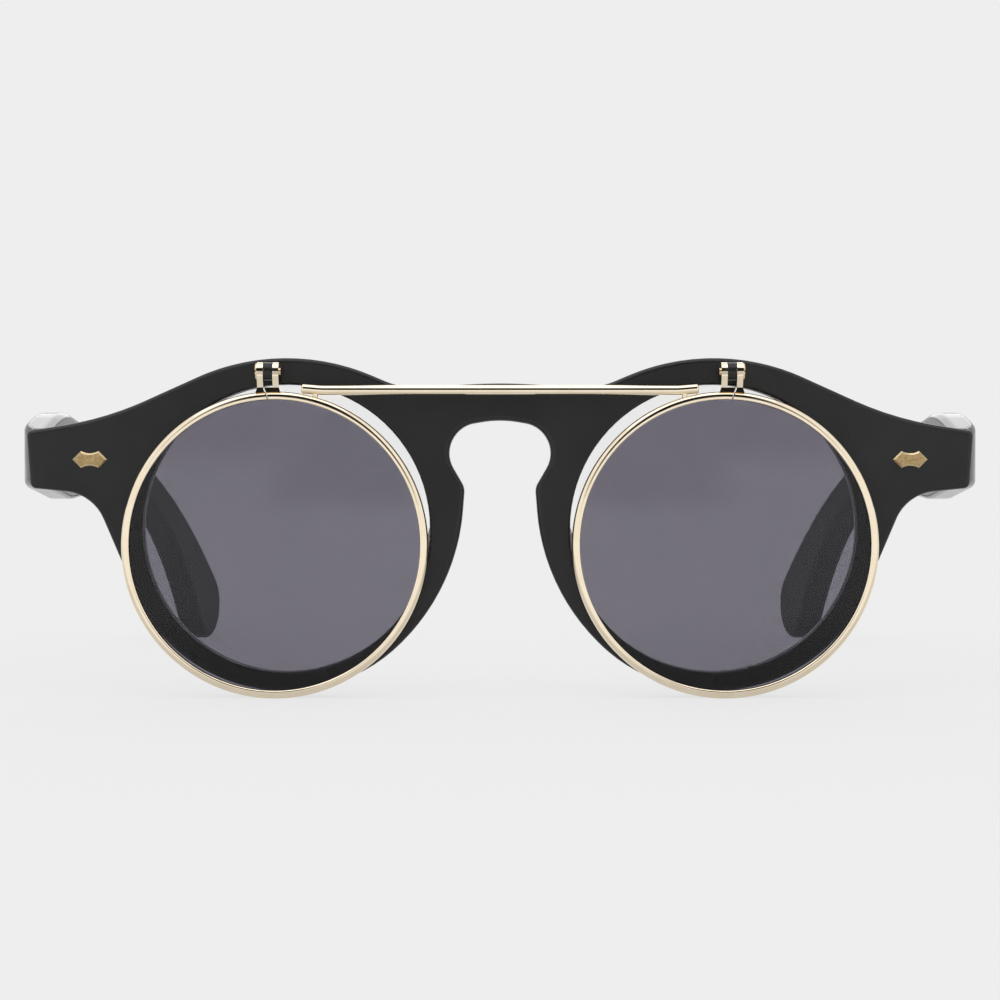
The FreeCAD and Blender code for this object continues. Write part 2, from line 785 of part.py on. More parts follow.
def fork_side_outline():
    """Side view of the lugs: a round knuckle on an arm that narrows to the rim."""
    knuckle = size("knuckle_dia / 2")
    arm = size("(wire_deep - wire_round) / 2")
    arm_z = 2 * ring_r + size("fork_flare")
    foot_z = 2 * ring_r - size("wire_wide")
    rake = (arm_z - foot_z) * math.tan(math.radians(size("foot_rake")))
    return [
        ((pin_y - knuckle, pin_z + knuckle), knuckle),
        ((pin_y - knuckle, pin_z - knuckle / 2), knuckle / 2),
        ((ring_y - arm, arm_z), 0),
        ((ring_y - arm - rake, foot_z), 0),
        ((ring_y + arm, foot_z), 0),
        ((ring_y + arm, arm_z), 0),
        ((pin_y + knuckle, pin_z - knuckle / 2), knuckle / 2),
        ((pin_y + knuckle, pin_z + knuckle), knuckle),
    ]


def beyond_parting(side, place):
    """Front view of all that lies past the parting line of a hinge, seen from one lug."""
    foot, along = slit_line(side)
    outboard = Vector(side * along.y, -abs(along.x), 0)
    away = -side if place == "outer" else side
    shift = outboard * (size("rim_slit / 2") if place == "outer" else -size("rim_slit / 2"))
    floor = ring_r + size("fork_floor + rim_slit")
    low = foot - along + shift
    knee = foot + along * ((floor - foot.y) / along.y) + shift
    middle, top = side * size("hinge_out"), ring_r + size("pin_rise + knuckle_dia")
    far = middle + away * size("knuckle_dia * 2")
    points = [(low.x, low.y), (knee.x, knee.y), (middle, knee.y), (middle, top), (far, top), (far, low.y)]
    return polygon(*[(side * ring_x + u, ring_z + v) for u, v in points])


def build_lugs(name, side):
    """Outer and inner hinge lug, seated on the rim and parted along the rim's cut."""
    start_y = pin_y - size("knuckle_dia * 2")
    start_x = side * pin_x - size("knuckle_dia * 2")
    front_view = sketch_on("front", f"{name}_fork_front", rounded_outline(fork_front_outline(side)))
    side_view = sketch_on("side", f"{name}_fork_side", rounded_outline(fork_side_outline()))
    deep = prism(f"{name}_fork_deep", front_view, Vector(0, 1, 0), "knuckle_dia * 4", start_y)
    wide = prism(f"{name}_fork_wide", side_view, Vector(1, 0, 0), "knuckle_dia * 4", start_x)
    fork = common(f"{name}_fork", deep, wide)
    lugs = []
    for place in ("outer", "inner"):
        label = f"{name}_{place}_lug"
        start = (start_x, pin_y, pin_z)
        hole = rod(f"{label}_hole", "x", start, "pin_dia / 2 + press_play", "knuckle_dia * 4")
        past = sketch_on("front", f"{label}_past_outline", beyond_parting(side, place))
        other = prism(f"{label}_past", past, Vector(0, 1, 0), "knuckle_dia * 4", start_y)
        lug = cut(label, fork, rim_disc(f"{label}_seat", side), hole, other)
        lug.Label = label
        lugs.append(lug)
    return lugs


def rim_disc(name, side):
    """Disc with the outside of a flip-up rim, to seat pieces on it."""
    start = (side * ring_x, ring_y - size("wire_deep"), ring_z)
    return rod(name, "y", start, "(eye_dia + flip_over) / 2", "wire_deep * 2")


def build_screw(label, shank_dia, length, head_dia, head_tall):
    """Slotted screw with its head above the origin of its own Z axis."""
    shank, head = size(shank_dia) / 2, size(head_dia) / 2
    reach, tall = size(length), size(head_tall)
    section = [
        ((0, -reach), 0),
        ((shank, -reach), 0),
        ((shank, 0), 0),
        ((head, 0), 0),
        ((head, tall), size("head_round")),
        ((0, tall), 0),
    ]
    screw = turned_body(label, rounded_outline(section))
    half, floor = size("slot_wide / 2"), tall - size("slot_deep")
    slot = polygon((-half, floor), (half, floor), (half, tall * 2), (-half, tall * 2))
    slot_in(screw, f"{label}_slot", "XZ_Plane", slot, f"{head_dia} * 2")
    return screw


def build_flip_screw(name, side):
    """Screw that closes a flip-up rim and is its pivot, head outboard."""
    half = size("boss_wide / 2 + lug_play + lug_wide")
    length = "boss_wide + 2 * lug_play + 2 * lug_wide + screw_tail"
    screw = build_screw(f"{name}_flip_screw", "pin_dia", length, "screw_head_dia", "screw_head_tall")
    outboard = Rotation(Vector(0, 0, 1), Vector(side, 0, 0))
    screw.Placement = Placement(Vector(side * (pin_x + half), pin_y, pin_z), outboard)
    return screw


def build_bar():
    """Round bar in front of the bridge, its ends turned up a little."""
    end_x = ring_x - size("bar_inset")
    bend_x = end_x - size("bar_end_long")
    lift, bend = size("bar_end_lift"), size("bar_end_radius")
    path = [
        ((-end_x, bar_z + lift), 0),
        ((-bend_x, bar_z), bend),
        ((bend_x, bar_z), bend),
        ((end_x, bar_z + lift), 0),
    ]
    run = rounded_outline(path)[:-1]
    spine = sketch_on("front", "bar_path", run)
    spine.Placement.Base = Vector(0, ring_y, 0)
    section = doc.addObject("Part::Circle", "bar_section")
    bind(section, Radius="bar_dia / 2")
    heading = Vector(end_x - bend_x, 0, -lift)
    section.Placement = Placement(Vector(-end_x, ring_y, bar_z + lift), Rotation(Vector(0, 0, 1), heading))
    bar = doc.addObject("Part::Sweep", "bar_sweep")
    bar.Sections = [section]
    bar.Spine = (spine, [f"Edge{number}" for number in range(1, len(run) + 1)])
    bar.Solid = True

    def radius_at(edge):
        from_end = min(abs(abs(vertex.X) - end_x) for vertex in edge.Vertexes)
        return size("bar_dia / 6") if from_end < size("bar_dia / 6") else None

    rounded = round_edges("brow_bar", bar, radius_at)
    rounded.Label = "brow_bar"
    return rounded


def build_post(name, side, bar):
    """Short post from a flip-up rim up to the bar."""
    label = f"{name}_bar_post"
    start = (side * (ring_x - size("post_inset")), ring_y, ring_z + ring_r - size("wire_wide * 2"))
    full = rod(f"{label}_full", "z", start, "post_dia / 2", "wire_wide * 2 + bar_rise")
    post = cut(label, full, rim_disc(f"{label}_seat", side), bar)
    post.Label = label
    return post


def barrels(label, side, slots, web_corner, web_wide, web_deep):
    """Barrels of a hinge plate in the given fifths of its height, each with a web back to the plate."""
    pitch = size("leaf_tall / 5")
    tall = "leaf_tall / 5 - barrel_play"
    items = []
    for slot in slots:
        low = end_z - size("(leaf_tall - barrel_play) / 2") + slot * pitch
        centre = (side * barrel_x, barrel_y, low)
        items.append(rod(f"{label}_barrel_{slot}", "z", centre, "barrel_dia / 2", tall))
        items.append(block(f"{label}_web_{slot}", (*web_corner, low), web_wide, web_deep, tall))
    return items


def pin_bore(label, side, radius):
    """Bore for a temple screw."""
    start = (side * barrel_x, barrel_y, end_z - size("leaf_tall"))
    return rod(f"{label}_bore", "z", start, radius, "leaf_tall * 2")


def build_front_hinge(name, side):
    """Hinge plate let into the back of an endpiece, with three barrels."""
    label = f"{name}_front_hinge"
    low = end_z - size("leaf_tall / 2")
    corner = (span(side, leaf_in_x, leaf_out_x), leaf_y - size("leaf_thick"), low)
    plate = block(f"{label}_plate", corner, LEAF_WIDE, "leaf_thick", "leaf_tall")
    web_corner = (span(side, barrel_x - size("barrel_dia / 2"), leaf_out_x), leaf_y - size("leaf_thick / 2"))
    web_wide, web_deep = "barrel_dia * 5 / 8", "barrel_back + leaf_thick / 2"
    knuckles = barrels(label, side, (0, 2, 4), web_corner, web_wide, web_deep)
    joined = fuse(f"{label}_joined", plate, *knuckles)
    holes = [pin_bore(label, side, "hinge_pin_dia / 2 + press_play")]
    for step in (-1, 1):
        start = (side * plaque_x + step * size("rivet_pitch / 2"), leaf_y - size("leaf_thick * 2"), end_z)
        hole_r = "rivet_dia / 2 + press_play"
        holes.append(rod(f"{label}_hole_{step + 1}", "y", start, hole_r, "leaf_thick * 3"))
    hinge = cut(label, joined, *holes)
    hinge.Label = label
    return hinge


def build_temple_hinge(name, side):
    """Hinge plate let into the inside of a temple, with two barrels."""
    label = f"{name}_temple_hinge"
    low = end_z - size("leaf_tall / 2")
    corner = (span(side, temple_in_x, temple_in_x + size("leaf_thick")), barrel_y, low)
    plate = block(f"{label}_plate", corner, "leaf_thick", "leaf_long", "leaf_tall")
    web_corner = (span(side, barrel_x, temple_in_x + size("leaf_thick / 2")), barrel_y)
    web_wide = "barrel_side_gap + (barrel_dia + leaf_thick) / 2"
    knuckles = barrels(label, side, (1, 3), web_corner, web_wide, "barrel_dia / 2")
    joined = fuse(f"{label}_joined", plate, *knuckles)
    hinge = cut(label, joined, pin_bore(label, side, "hinge_pin_dia / 2 + pin_play"))
    hinge.Label = label
    return hinge


def build_temple_screw(name, side):
    """Pivot screw of a temple, held in the front hinge plate."""
    length = "leaf_tall + hinge_head_tall / 2"
    screw = build_screw(f"{name}_temple_screw", "hinge_pin_dia", length, "hinge_head_dia", "hinge_head_tall")
    screw.Placement.Base = Vector(side * barrel_x, barrel_y, end_z + size("leaf_tall / 2"))
    return screw


def temple_side_outline():
    """Side view of a temple: swelling slowly behind the hinge, tapering to the ear, ending in a round tip."""
    front = front_y + back_depth(half_width) + size("temple_gap")
    middle = end_z + size("temple_rise")
    tip = (front_y + size("temple_reach - tip_radius"), size("tip_radius"))
    high = (front + size("temple_crest"), middle + size("temple_high"))
    low = (front + size("temple_belly"), middle - size("temple_low"))
    top = line_through(high, -size("temple_fall"))
    under = line_through(low, size("temple_lift"))
    ear_top = tangent(tip, size("tip_radius"), 90 - size("ear_fall - ear_taper"))
    ear_end = tangent(tip, size("tip_radius"), -size("ear_fall"))
    ear_under = tangent(tip, size("tip_radius"), -90 - size("ear_fall + ear_taper"))
    corner = size("temple_round * 1.4")
    return [
        ((front, middle + size("temple_end_tall / 2")), corner),
        (high, size("crest_radius")),
        (meet(top, ear_top), end_z * size("ear_top_share")),
        (meet(ear_top, ear_end), size("tip_radius")),
        (meet(ear_end, ear_under), size("tip_radius")),
        (meet(ear_under, under), end_z * size("ear_low_share")),
        (low, size("crest_radius")),
        ((front, middle - size("temple_end_tall / 2")), corner),
    ]


def temple_plan_outline(side):
    """Plan of a temple: eased outside the hinge, straight, then bowed inward to the tip."""
    front, bow = front_y + back_depth(half_width) + size("temple_gap"), front_y + size("bow_start")
    inner, outer = temple_in_x, temple_in_x + size("temple_thick")
    cheek = math.acos(1 - size("cheek_deep / cheek_radius"))
    turn = size("bow_radius")
    centre_x = (inner + outer) / 2 - turn
    sweep = size("temple_reach / bow_radius")

    def at(x, y):
        return Vector(side * x, y, 0)

    def bowed(x, share):
        reach = x - centre_x
        return at(centre_x + reach * math.cos(share * sweep), bow + reach * math.sin(share * sweep))

    def eased(share):
        drop = size("cheek_radius") * (1 - math.cos(share * cheek))
        return at(outer - drop, front + size("cheek_radius") * (math.sin(cheek) - math.sin(share * cheek)))

    return [
        Part.LineSegment(at(inner, front), eased(1)),
        Part.Arc(eased(1), eased(0.5), eased(0)),
        Part.LineSegment(eased(0), at(outer, bow)),
        Part.Arc(at(outer, bow), bowed(outer, 0.5), bowed(outer, 1)),
        Part.LineSegment(bowed(outer, 1), bowed(inner, 1)),
        Part.Arc(bowed(inner, 1), bowed(inner, 0.5), at(inner, bow)),
        Part.LineSegment(at(inner, bow), at(inner, front)),
    ]


def build_temple(name, side):
    """Temple with rounded edges and a seat for its hinge plate."""
    label = f"{name}_temple"
    side_view = sketch_on("side", f"{label}_side", rounded_outline(temple_side_outline()))
    plan = sketch_on("plan", f"{label}_plan", temple_plan_outline(side))
    start_x = 0 if side > 0 else -size("eye_dia * 2")
    wide = prism(f"{label}_wide", side_view, Vector(1, 0, 0), "eye_dia * 2", start_x)
    tall = prism(f"{label}_tall", plan, Vector(0, 0, 1), "eye_dia * 2", -size("eye_dia / 2"))
    blank = common(f"{label}_blank", wide, tall)

    def radius_at(edge):
        heading = edge.tangentAt((edge.FirstParameter + edge.LastParameter) / 2)
        return size("temple_round") if abs(heading.x) < 0.5 else None

    rounded = round_edges(f"{label}_rounded", blank, radius_at)
    play = size("press_play")
    corner_x = span(side, temple_in_x - size("leaf_thick"), temple_in_x + size("leaf_thick") + play)
    corner = (corner_x, barrel_y - play, end_z - size("leaf_tall / 2") - play)
    long, tall = "leaf_long + 2 * press_play", "leaf_tall + 2 * press_play"
    seat = block(f"{label}_seat", corner, "leaf_thick * 2 + press_play", long, tall)
    temple = cut(label, rounded, seat)
    temple.Label = label
    return temple


def build_all():
    """Every piece of the glasses."""
    bar = build_bar()
    nodes = [build_front(), bar]
    for name, side in SIDES.items():
        nodes.append(build_plaque(name, side))
        nodes.extend(build_lenses(name, side))
        nodes.append(build_front_hinge(name, side))
        nodes.append(build_temple_screw(name, side))
        nodes.append(build_temple_hinge(name, side))
        nodes.append(build_temple(name, side))
        nodes.append(build_rim(name, side))
        nodes.extend(build_lugs(name, side))
        nodes.append(build_flip_screw(name, side))
        nodes.append(build_post(name, side, bar))
    return nodes


def export(nodes):
    """Checks every object and writes one file per piece."""
    doc.recompute()
    for item in doc.Objects:
        if "Invalid" in item.State or "Error" in item.State:
            raise RuntimeError(f"{item.Label}: {item.State}")
    os.makedirs("parts", exist_ok=True)
    for node in nodes:
        shape = node.Shape
        if shape.isNull() or not shape.isValid() or len(shape.Solids) != 1:
            raise RuntimeError(f"{node.Label}: {len(shape.Solids)} solids, valid {shape.isValid()}")
        shape.exportStep(f"parts/{node.Label}.step")
        print(f"{node.Label}: {shape.Volume:.2f} mm3")


export(build_all())
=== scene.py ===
import json
import logging
import math
from collections.abc import Sequence
from dataclasses import dataclass
from enum import Enum

import bpy
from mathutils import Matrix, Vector

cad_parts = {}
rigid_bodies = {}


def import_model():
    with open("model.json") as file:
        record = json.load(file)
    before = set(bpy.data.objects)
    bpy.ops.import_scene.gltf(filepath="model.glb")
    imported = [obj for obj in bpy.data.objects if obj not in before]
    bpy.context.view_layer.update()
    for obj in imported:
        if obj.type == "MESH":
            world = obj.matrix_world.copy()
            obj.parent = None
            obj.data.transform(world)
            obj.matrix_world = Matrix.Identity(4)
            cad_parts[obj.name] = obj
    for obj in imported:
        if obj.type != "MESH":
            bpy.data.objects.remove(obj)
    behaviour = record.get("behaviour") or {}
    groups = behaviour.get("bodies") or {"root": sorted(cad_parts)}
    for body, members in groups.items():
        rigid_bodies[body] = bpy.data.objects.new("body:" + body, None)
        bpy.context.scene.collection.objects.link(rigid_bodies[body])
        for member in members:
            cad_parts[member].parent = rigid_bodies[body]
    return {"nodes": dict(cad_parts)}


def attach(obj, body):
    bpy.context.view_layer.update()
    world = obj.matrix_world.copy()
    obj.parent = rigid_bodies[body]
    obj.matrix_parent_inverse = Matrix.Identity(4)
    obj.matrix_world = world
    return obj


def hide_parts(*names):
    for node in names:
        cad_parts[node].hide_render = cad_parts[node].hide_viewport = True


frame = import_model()

# Flip-up round sunglasses on a plain pale table, in metres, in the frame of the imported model.
# A size that ends in _mm, and every size of a rim or lens, is in millimetres.

LOG = logging.getLogger("flip_up_sunglasses")
MM = 0.001
Colour = tuple[float, float, float]
Scale = tuple[float, float, float]
Point = tuple[float, float]
Span = tuple[float, float]
Socket = bpy.types.NodeSocket
WHITE: Colour = (1.0, 1.0, 1.0)


class Side(Enum):
    """Wearer's side of a paired piece."""

    LEFT = "left"
    RIGHT = "right"

    def node(self, piece: str) -> str:
        """Name of this side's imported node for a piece."""
        return f"{self.value}_{piece}"

    @property
    def sign(self) -> int:
        """Direction of this side along X."""
        return 1 if self is Side.LEFT else -1


class Way(Enum):
    """How two values are made into one, with Blender's words for it."""

    SUM = "ADD"
    PRODUCT = "MULTIPLY"
    LARGER = "MAXIMUM"


class Run(Enum):
    """How a value goes from one end of a span to the other, with Blender's words for it."""

    EVEN = "LINEAR"
    EASED = "SMOOTHSTEP"


class NodeSheet:
    """Node tree with short calls that add nodes and join them."""

    def __init__(self, tree: bpy.types.NodeTree) -> None:
        """Empties the tree.

        Args:
            tree: Node tree of a material or of the world.
        """
        self.tree = tree
        self.tree.nodes.clear()

    def add(self, kind: str, **settings: object) -> bpy.types.Node:
        """Adds a node.

        Args:
            kind: Blender's type name of the node.
            settings: Properties to set on it.

        Returns:
            The new node.
        """
        node = self.tree.nodes.new(kind)
        for key, value in settings.items():
            setattr(node, key, value)
        return node

    def join(self, source: Socket, target: Socket) -> None:
        """Links an output to an input."""
        self.tree.links.new(source, target)

    def combine(self, way: Way, first: Socket, second: Socket) -> Socket:
        """Makes two values into one.

        Args:
            way: How it is done.
            first: First value.
            second: Second value.

        Returns:
            The one value.
        """
        node = self.add("ShaderNodeMath", operation=way.value)
        self.join(first, node.inputs[0])
        self.join(second, node.inputs[1])
        return node.outputs["Value"]

    def split(self, source: Socket) -> bpy.types.Node:
        """Parts a vector.

        Args:
            source: The vector.

        Returns:
            Node with the outputs X, Y and Z.
        """
        node = self.add("ShaderNodeSeparateXYZ")
        self.join(source, node.inputs["Vector"])
        return node

    def spread(
        self,
        source: Socket,
        low: float,
        high: float,
        start: float = 0.3,
        end: float = 0.7,
        run: Run = Run.EVEN,
    ) -> Socket:
        """Maps a span of values to another span.

        Args:
            source: Values to map.
            low: Value given at start and beyond it.
            high: Value given at end and beyond it.
            start: First value of the span.
            end: Last value of the span.
            run: How the values go from low to high.

        Returns:
            The mapped values.
        """
        node = self.add("ShaderNodeMapRange", interpolation_type=run.value)
        node.inputs["From Min"].default_value = start
        node.inputs["From Max"].default_value = end
        node.inputs["To Min"].default_value = low
        node.inputs["To Max"].default_value = high
        self.join(source, node.inputs["Value"])
        return node.outputs["Result"]

    def choose(self, share: Socket, first: Socket, second: Socket) -> Socket:
        """Mixes two shaders.

        Args:
            share: 0 for the first shader, 1 for the second.
            first: First shader.
            second: Second shader.

        Returns:
            The mixed shader.
        """
        node = self.add("ShaderNodeMixShader")
        self.join(share, node.inputs["Fac"])
        self.join(first, node.inputs[1])
        self.join(second, node.inputs[2])
        return node.outputs["Shader"]


class FinishSheet(NodeSheet):
    """Node tree of one material, with the textures and the shader that finishes use."""

    def __init__(self, name: str) -> None:
        """Starts an empty material.

        Args:
            name: Name of the material.
        """
        self.material: bpy.types.Material = bpy.data.materials.new(name)
        self.material.use_nodes = True
        super().__init__(self.material.node_tree)
        self.output: bpy.types.Node = self.add("ShaderNodeOutputMaterial")
        self.spot: Socket = self.add("ShaderNodeTexCoord").outputs["Object"]

    def stretched(self, stretch: Scale) -> Socket:
        """Coordinates with each axis scaled, for streaks.

        Args:
            stretch: Scale along X, Y and Z.

        Returns:
            The scaled coordinates.
        """
        mapping = self.add("ShaderNodeMapping")
        mapping.inputs["Scale"].default_value = stretch
        self.join(self.spot, mapping.inputs["Vector"])
        return mapping.outputs["Vector"]

    def noise(
        self, size_mm: float, detail: float = 3.0, stretch: Scale = (1.0, 1.0, 1.0)
    ) -> Socket:
        """Cloudy noise of a given feature size.

        Args:
            size_mm: Size of one cloud.
            detail: Octaves of finer noise.
            stretch: Scale along X, Y and Z.

        Returns:
            Values about 0 to 1.
        """
        node = self.add("ShaderNodeTexNoise")
        node.inputs["Scale"].default_value = 1.0 / (size_mm * MM)
        node.inputs["Detail"].default_value = detail
        self.join(self.stretched(stretch), node.inputs["Vector"])
        return node.outputs["Fac"]

    def cells(self, size_mm: float) -> Socket:
        """Distance to the middle of cells, as small hammer marks have it.

        Args:
            size_mm: Size of one cell.

        Returns:
            Values about 0 to 1.
        """
        node = self.add("ShaderNodeTexVoronoi", feature="SMOOTH_F1")
        node.inputs["Scale"].default_value = 1.0 / (size_mm * MM)
        self.join(self.spot, node.inputs["Vector"])
        return node.outputs["Distance"]

    def shade(self, share: Socket, first: Colour, second: Colour) -> Socket:
        """Mixes two colours.

        Args:
            share: 0 for the first colour, 1 for the second.
            first: First colour.
            second: Second colour.

        Returns:
            The mixed colour.
        """
        node = self.add("ShaderNodeMix", data_type="RGBA")
        ends = [socket for socket in node.inputs if socket.type == "RGBA"]
        for socket, colour in zip(ends, (first, second)):
            socket.default_value = (*colour, 1.0)
        self.join(share, node.inputs["Factor"])
        return next(socket for socket in node.outputs if socket.type == "RGBA")

    def bumps(self, height: Socket, depth_mm: float, under: Socket | None = None) -> Socket:
        """Turns heights into a surface normal.

        Args:
            height: Values about 0 to 1.
            depth_mm: Depth of the relief.
            under: Normal that this relief lies on.

        Returns:
            The normal.
        """
        node = self.add("ShaderNodeBump")
        node.inputs["Strength"].default_value = 1.0
        node.inputs["Distance"].default_value = depth_mm * MM
        self.join(height, node.inputs["Height"])
        if under is not None:
            self.join(under, node.inputs["Normal"])
        return node.outputs["Normal"]

    def surface(self, **numbers: float) -> bpy.types.Node:
        """Adds the surface shader with its constant sockets set.

        Args:
            numbers: Socket names, with _ for a space, and their values.

        Returns:
            The shader node.
        """
        shader = self.add("ShaderNodeBsdfPrincipled")
        for key, value in numbers.items():
            shader.inputs[key.replace("_", " ")].default_value = value
        self.join(shader.outputs["BSDF"], self.output.inputs["Surface"])
        return shader


@dataclass(frozen=True)
class SatinPlastic:
    """Moulded plastic with a fine satin grain and a few softer, handled patches."""

    name: str
    deep: Colour
    pale: Colour
    patch_mm: float = 9.0
    smooth: float = 0.24
    rough: float = 0.36
    handled_mm: float = 4.0
    shine: float = 0.34
    grain_mm: float = 0.22
    grain_depth_mm: float = 0.0012
    dull_from_mm: float = 0.0
    dull_over_mm: float = 30.0
    dull_rough: float = 0.0

    def make(self) -> bpy.types.Material:
        """Makes the plastic.

        Returns:
            The material.
        """
        sheet = FinishSheet(self.name)
        shader = sheet.surface(Specular_IOR_Level=self.shine)
        patches = sheet.spread(sheet.noise(self.patch_mm, detail=4.0), 0.0, 1.0)
        sheet.join(sheet.shade(patches, self.deep, self.pale), shader.inputs["Base Color"])
        handled = sheet.spread(sheet.noise(self.handled_mm, detail=5.0), self.smooth, self.rough)
        finish = sheet.combine(Way.LARGER, handled, self.worn_dull(sheet))
        sheet.join(finish, shader.inputs["Roughness"])
        grain = sheet.bumps(sheet.noise(self.grain_mm, detail=2.0), self.grain_depth_mm)
        sheet.join(grain, shader.inputs["Normal"])
        return sheet.material

    def worn_dull(self, sheet: FinishSheet) -> Socket:
        """Roughness of the part behind, which hair and skin rub dull.

        Args:
            sheet: Node tree of the plastic.

        Returns:
            0 in front, the dull roughness behind.
        """
        depth = sheet.split(sheet.spot).outputs["Y"]
        start, end = self.dull_from_mm * MM, (self.dull_from_mm + self.dull_over_mm) * MM
        return sheet.spread(depth, 0.0, self.dull_rough, start, end)


@dataclass(frozen=True)
class PolishedPlate:
    """Polished metal plate with hairlines along X and slightly duller patches."""

    name: str
    bright: Colour
    dull: Colour
    patch_mm: float = 2.6
    smooth: float = 0.05
    rough: float = 0.12
    worn_mm: float = 1.1
    hairline_mm: float = 0.05
    hairline_depth_mm: float = 0.0001
    hairline_stretch: Scale = (0.08, 1.0, 1.0)

    def make(self) -> bpy.types.Material:
        """Makes the plated metal.

        Returns:
            The material.
        """
        sheet = FinishSheet(self.name)
        shader = sheet.surface(Metallic=1.0)
        patches = sheet.spread(sheet.noise(self.patch_mm, detail=4.0), 0.0, 1.0)
        sheet.join(sheet.shade(patches, self.bright, self.dull), shader.inputs["Base Color"])
        worn = sheet.spread(sheet.noise(self.worn_mm, detail=4.0), self.smooth, self.rough)
        sheet.join(worn, shader.inputs["Roughness"])
        lines = sheet.noise(self.hairline_mm, detail=2.0, stretch=self.hairline_stretch)
        sheet.join(sheet.bumps(lines, self.hairline_depth_mm), shader.inputs["Normal"])
        return sheet.material


@dataclass(frozen=True)
class AgedBrass:
    """Brass with fine hammer marks, dark in the hollows and rubbed bright on the high spots."""

    name: str
    hollow: Colour
    rubbed: Colour
    mark_mm: float = 0.42
    mark_depth_mm: float = 0.025
    grit_mm: float = 0.12
    grit_depth_mm: float = 0.003125
    age_mm: float = 0.7
    rubbed_share: float = 0.55
    rubbed_span: Span = (0.45, 1.35)
    bevel_span: Span = (-0.95, -0.8)
    smooth: float = 0.28
    rough: float = 0.44

    def make(self) -> bpy.types.Material:
        """Makes the aged brass.

        Returns:
            The material.
        """
        sheet = FinishSheet(self.name)
        shader = sheet.surface(Metallic=1.0)
        marks = sheet.cells(self.mark_mm)
        age = sheet.noise(self.age_mm, detail=5.0)
        worn = sheet.combine(Way.SUM, marks, age)
        face = sheet.spread(worn, 0.0, self.rubbed_share, *self.rubbed_span)
        share = sheet.combine(Way.LARGER, face, self.rubbed_edge(sheet))
        sheet.join(sheet.shade(share, self.hollow, self.rubbed), shader.inputs["Base Color"])
        sheet.join(sheet.spread(age, self.smooth, self.rough), shader.inputs["Roughness"])
        grit = sheet.bumps(sheet.noise(self.grit_mm, detail=2.0), self.grit_depth_mm)
        sheet.join(sheet.bumps(marks, self.mark_depth_mm, grit), shader.inputs["Normal"])
        return sheet.material

    def rubbed_edge(self, sheet: FinishSheet) -> Socket:
        """Share of wear on the bevel, which cloths and fingers rub brighter than the face.

        Args:
            sheet: Node tree of the brass.

        Returns:
            0 on the face, 1 on the bevel.
        """
        facing = sheet.split(sheet.add("ShaderNodeTexCoord").outputs["Normal"])
        return sheet.spread(facing.outputs["Y"], 0.0, 1.0, *self.bevel_span)


@dataclass(frozen=True)
class SatinSteel:
    """Stamped or turned steel with fine tool lines."""

    name: str
    bright: Colour
    dull: Colour
    patch_mm: float = 1.6
    smooth: float = 0.2
    rough: float = 0.38
    line_mm: float = 0.06
    line_depth_mm: float = 0.0012
    line_stretch: Scale = (1.0, 1.0, 0.1)

    def make(self) -> bpy.types.Material:
        """Makes the steel.

        Returns:
            The material.
        """
        sheet = FinishSheet(self.name)
        shader = sheet.surface(Metallic=1.0)
        patches = sheet.spread(sheet.noise(self.patch_mm, detail=4.0), 0.0, 1.0)
        sheet.join(sheet.shade(patches, self.bright, self.dull), shader.inputs["Base Color"])
        lines = sheet.noise(self.line_mm, detail=2.0, stretch=self.line_stretch)
        sheet.join(sheet.spread(lines, self.smooth, self.rough), shader.inputs["Roughness"])
        sheet.join(sheet.bumps(lines, self.line_depth_mm), shader.inputs["Normal"])
        return sheet.material


@dataclass(frozen=True)
class LensGlass:
    """Clear-surfaced lens with a body tint and faint clouds in its depth of colour."""

    name: str
    tint: Colour
    tint_density: float
    bend: float = 1.5
    cloud: Colour = (0.975, 0.98, 0.975)
    cloud_mm: float = 14.0

    def make(self) -> bpy.types.Material:
        """Makes the lens material.

        Returns:
            The material.
        """
        sheet = FinishSheet(self.name)
        shader = sheet.surface(Transmission_Weight=1.0, IOR=self.bend, Roughness=0.0)
        clouds = sheet.spread(sheet.noise(self.cloud_mm), 0.0, 1.0)
        sheet.join(sheet.shade(clouds, WHITE, self.cloud), shader.inputs["Base Color"])
        body = sheet.add("ShaderNodeVolumeAbsorption")
        body.inputs["Color"].default_value = (*self.tint, 1.0)
        body.inputs["Density"].default_value = self.tint_density
        sheet.join(body.outputs["Volume"], sheet.output.inputs["Volume"])
        return sheet.material


def dress(node: str, material: bpy.types.Material) -> None:
    """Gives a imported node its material.

    Args:
        node: Name of the node.
        material: Material for the whole node.
    """
    piece = frame["nodes"][node]
    if not piece.material_slots:
        piece.data.materials.append(material)
    for slot in piece.material_slots:
        slot.material = material
    LOG.info("dressed %s in %s", node, material.name)


def even_out(piece: bpy.types.Object, crease_deg: float = 30.0, weld_mm: float = 0.002) -> None:
    """Gives a lathe-turned piece even shading up to its middle.

    Args:
        piece: Object of the piece.
        crease_deg: Edges sharper than this stay crisp.
        weld_mm: Points nearer than this become one.
    """
    weld = piece.modifiers.new("joined_points", "WELD")
    weld.merge_threshold = weld_mm * MM
    crease = piece.modifiers.new("crisp_edges", "EDGE_SPLIT")
    crease.split_angle = math.radians(crease_deg)
    piece.modifiers.new("even_shading", "WEIGHTED_NORMAL")


def new_piece(
    name: str, points: list[Vector], faces: list[list[int]], crease_deg: float = 35.0
) -> bpy.types.Object:
    """Makes a smooth mesh piece with crisp creases.

    Args:
        name: Name of the piece.
        points: Corner points in metres.
        faces: Point numbers of each face.
        crease_deg: Edges sharper than this stay crisp.

    Returns:
        The new object.
    """
    mesh = bpy.data.meshes.new(name)
    mesh.from_pydata(points, [], faces)
    mesh.polygons.foreach_set("use_smooth", [True] * len(mesh.polygons))
    mesh.set_sharp_from_angle(angle=math.radians(crease_deg))
    piece = bpy.data.objects.new(name, mesh)
    bpy.context.scene.collection.objects.link(piece)
    return piece


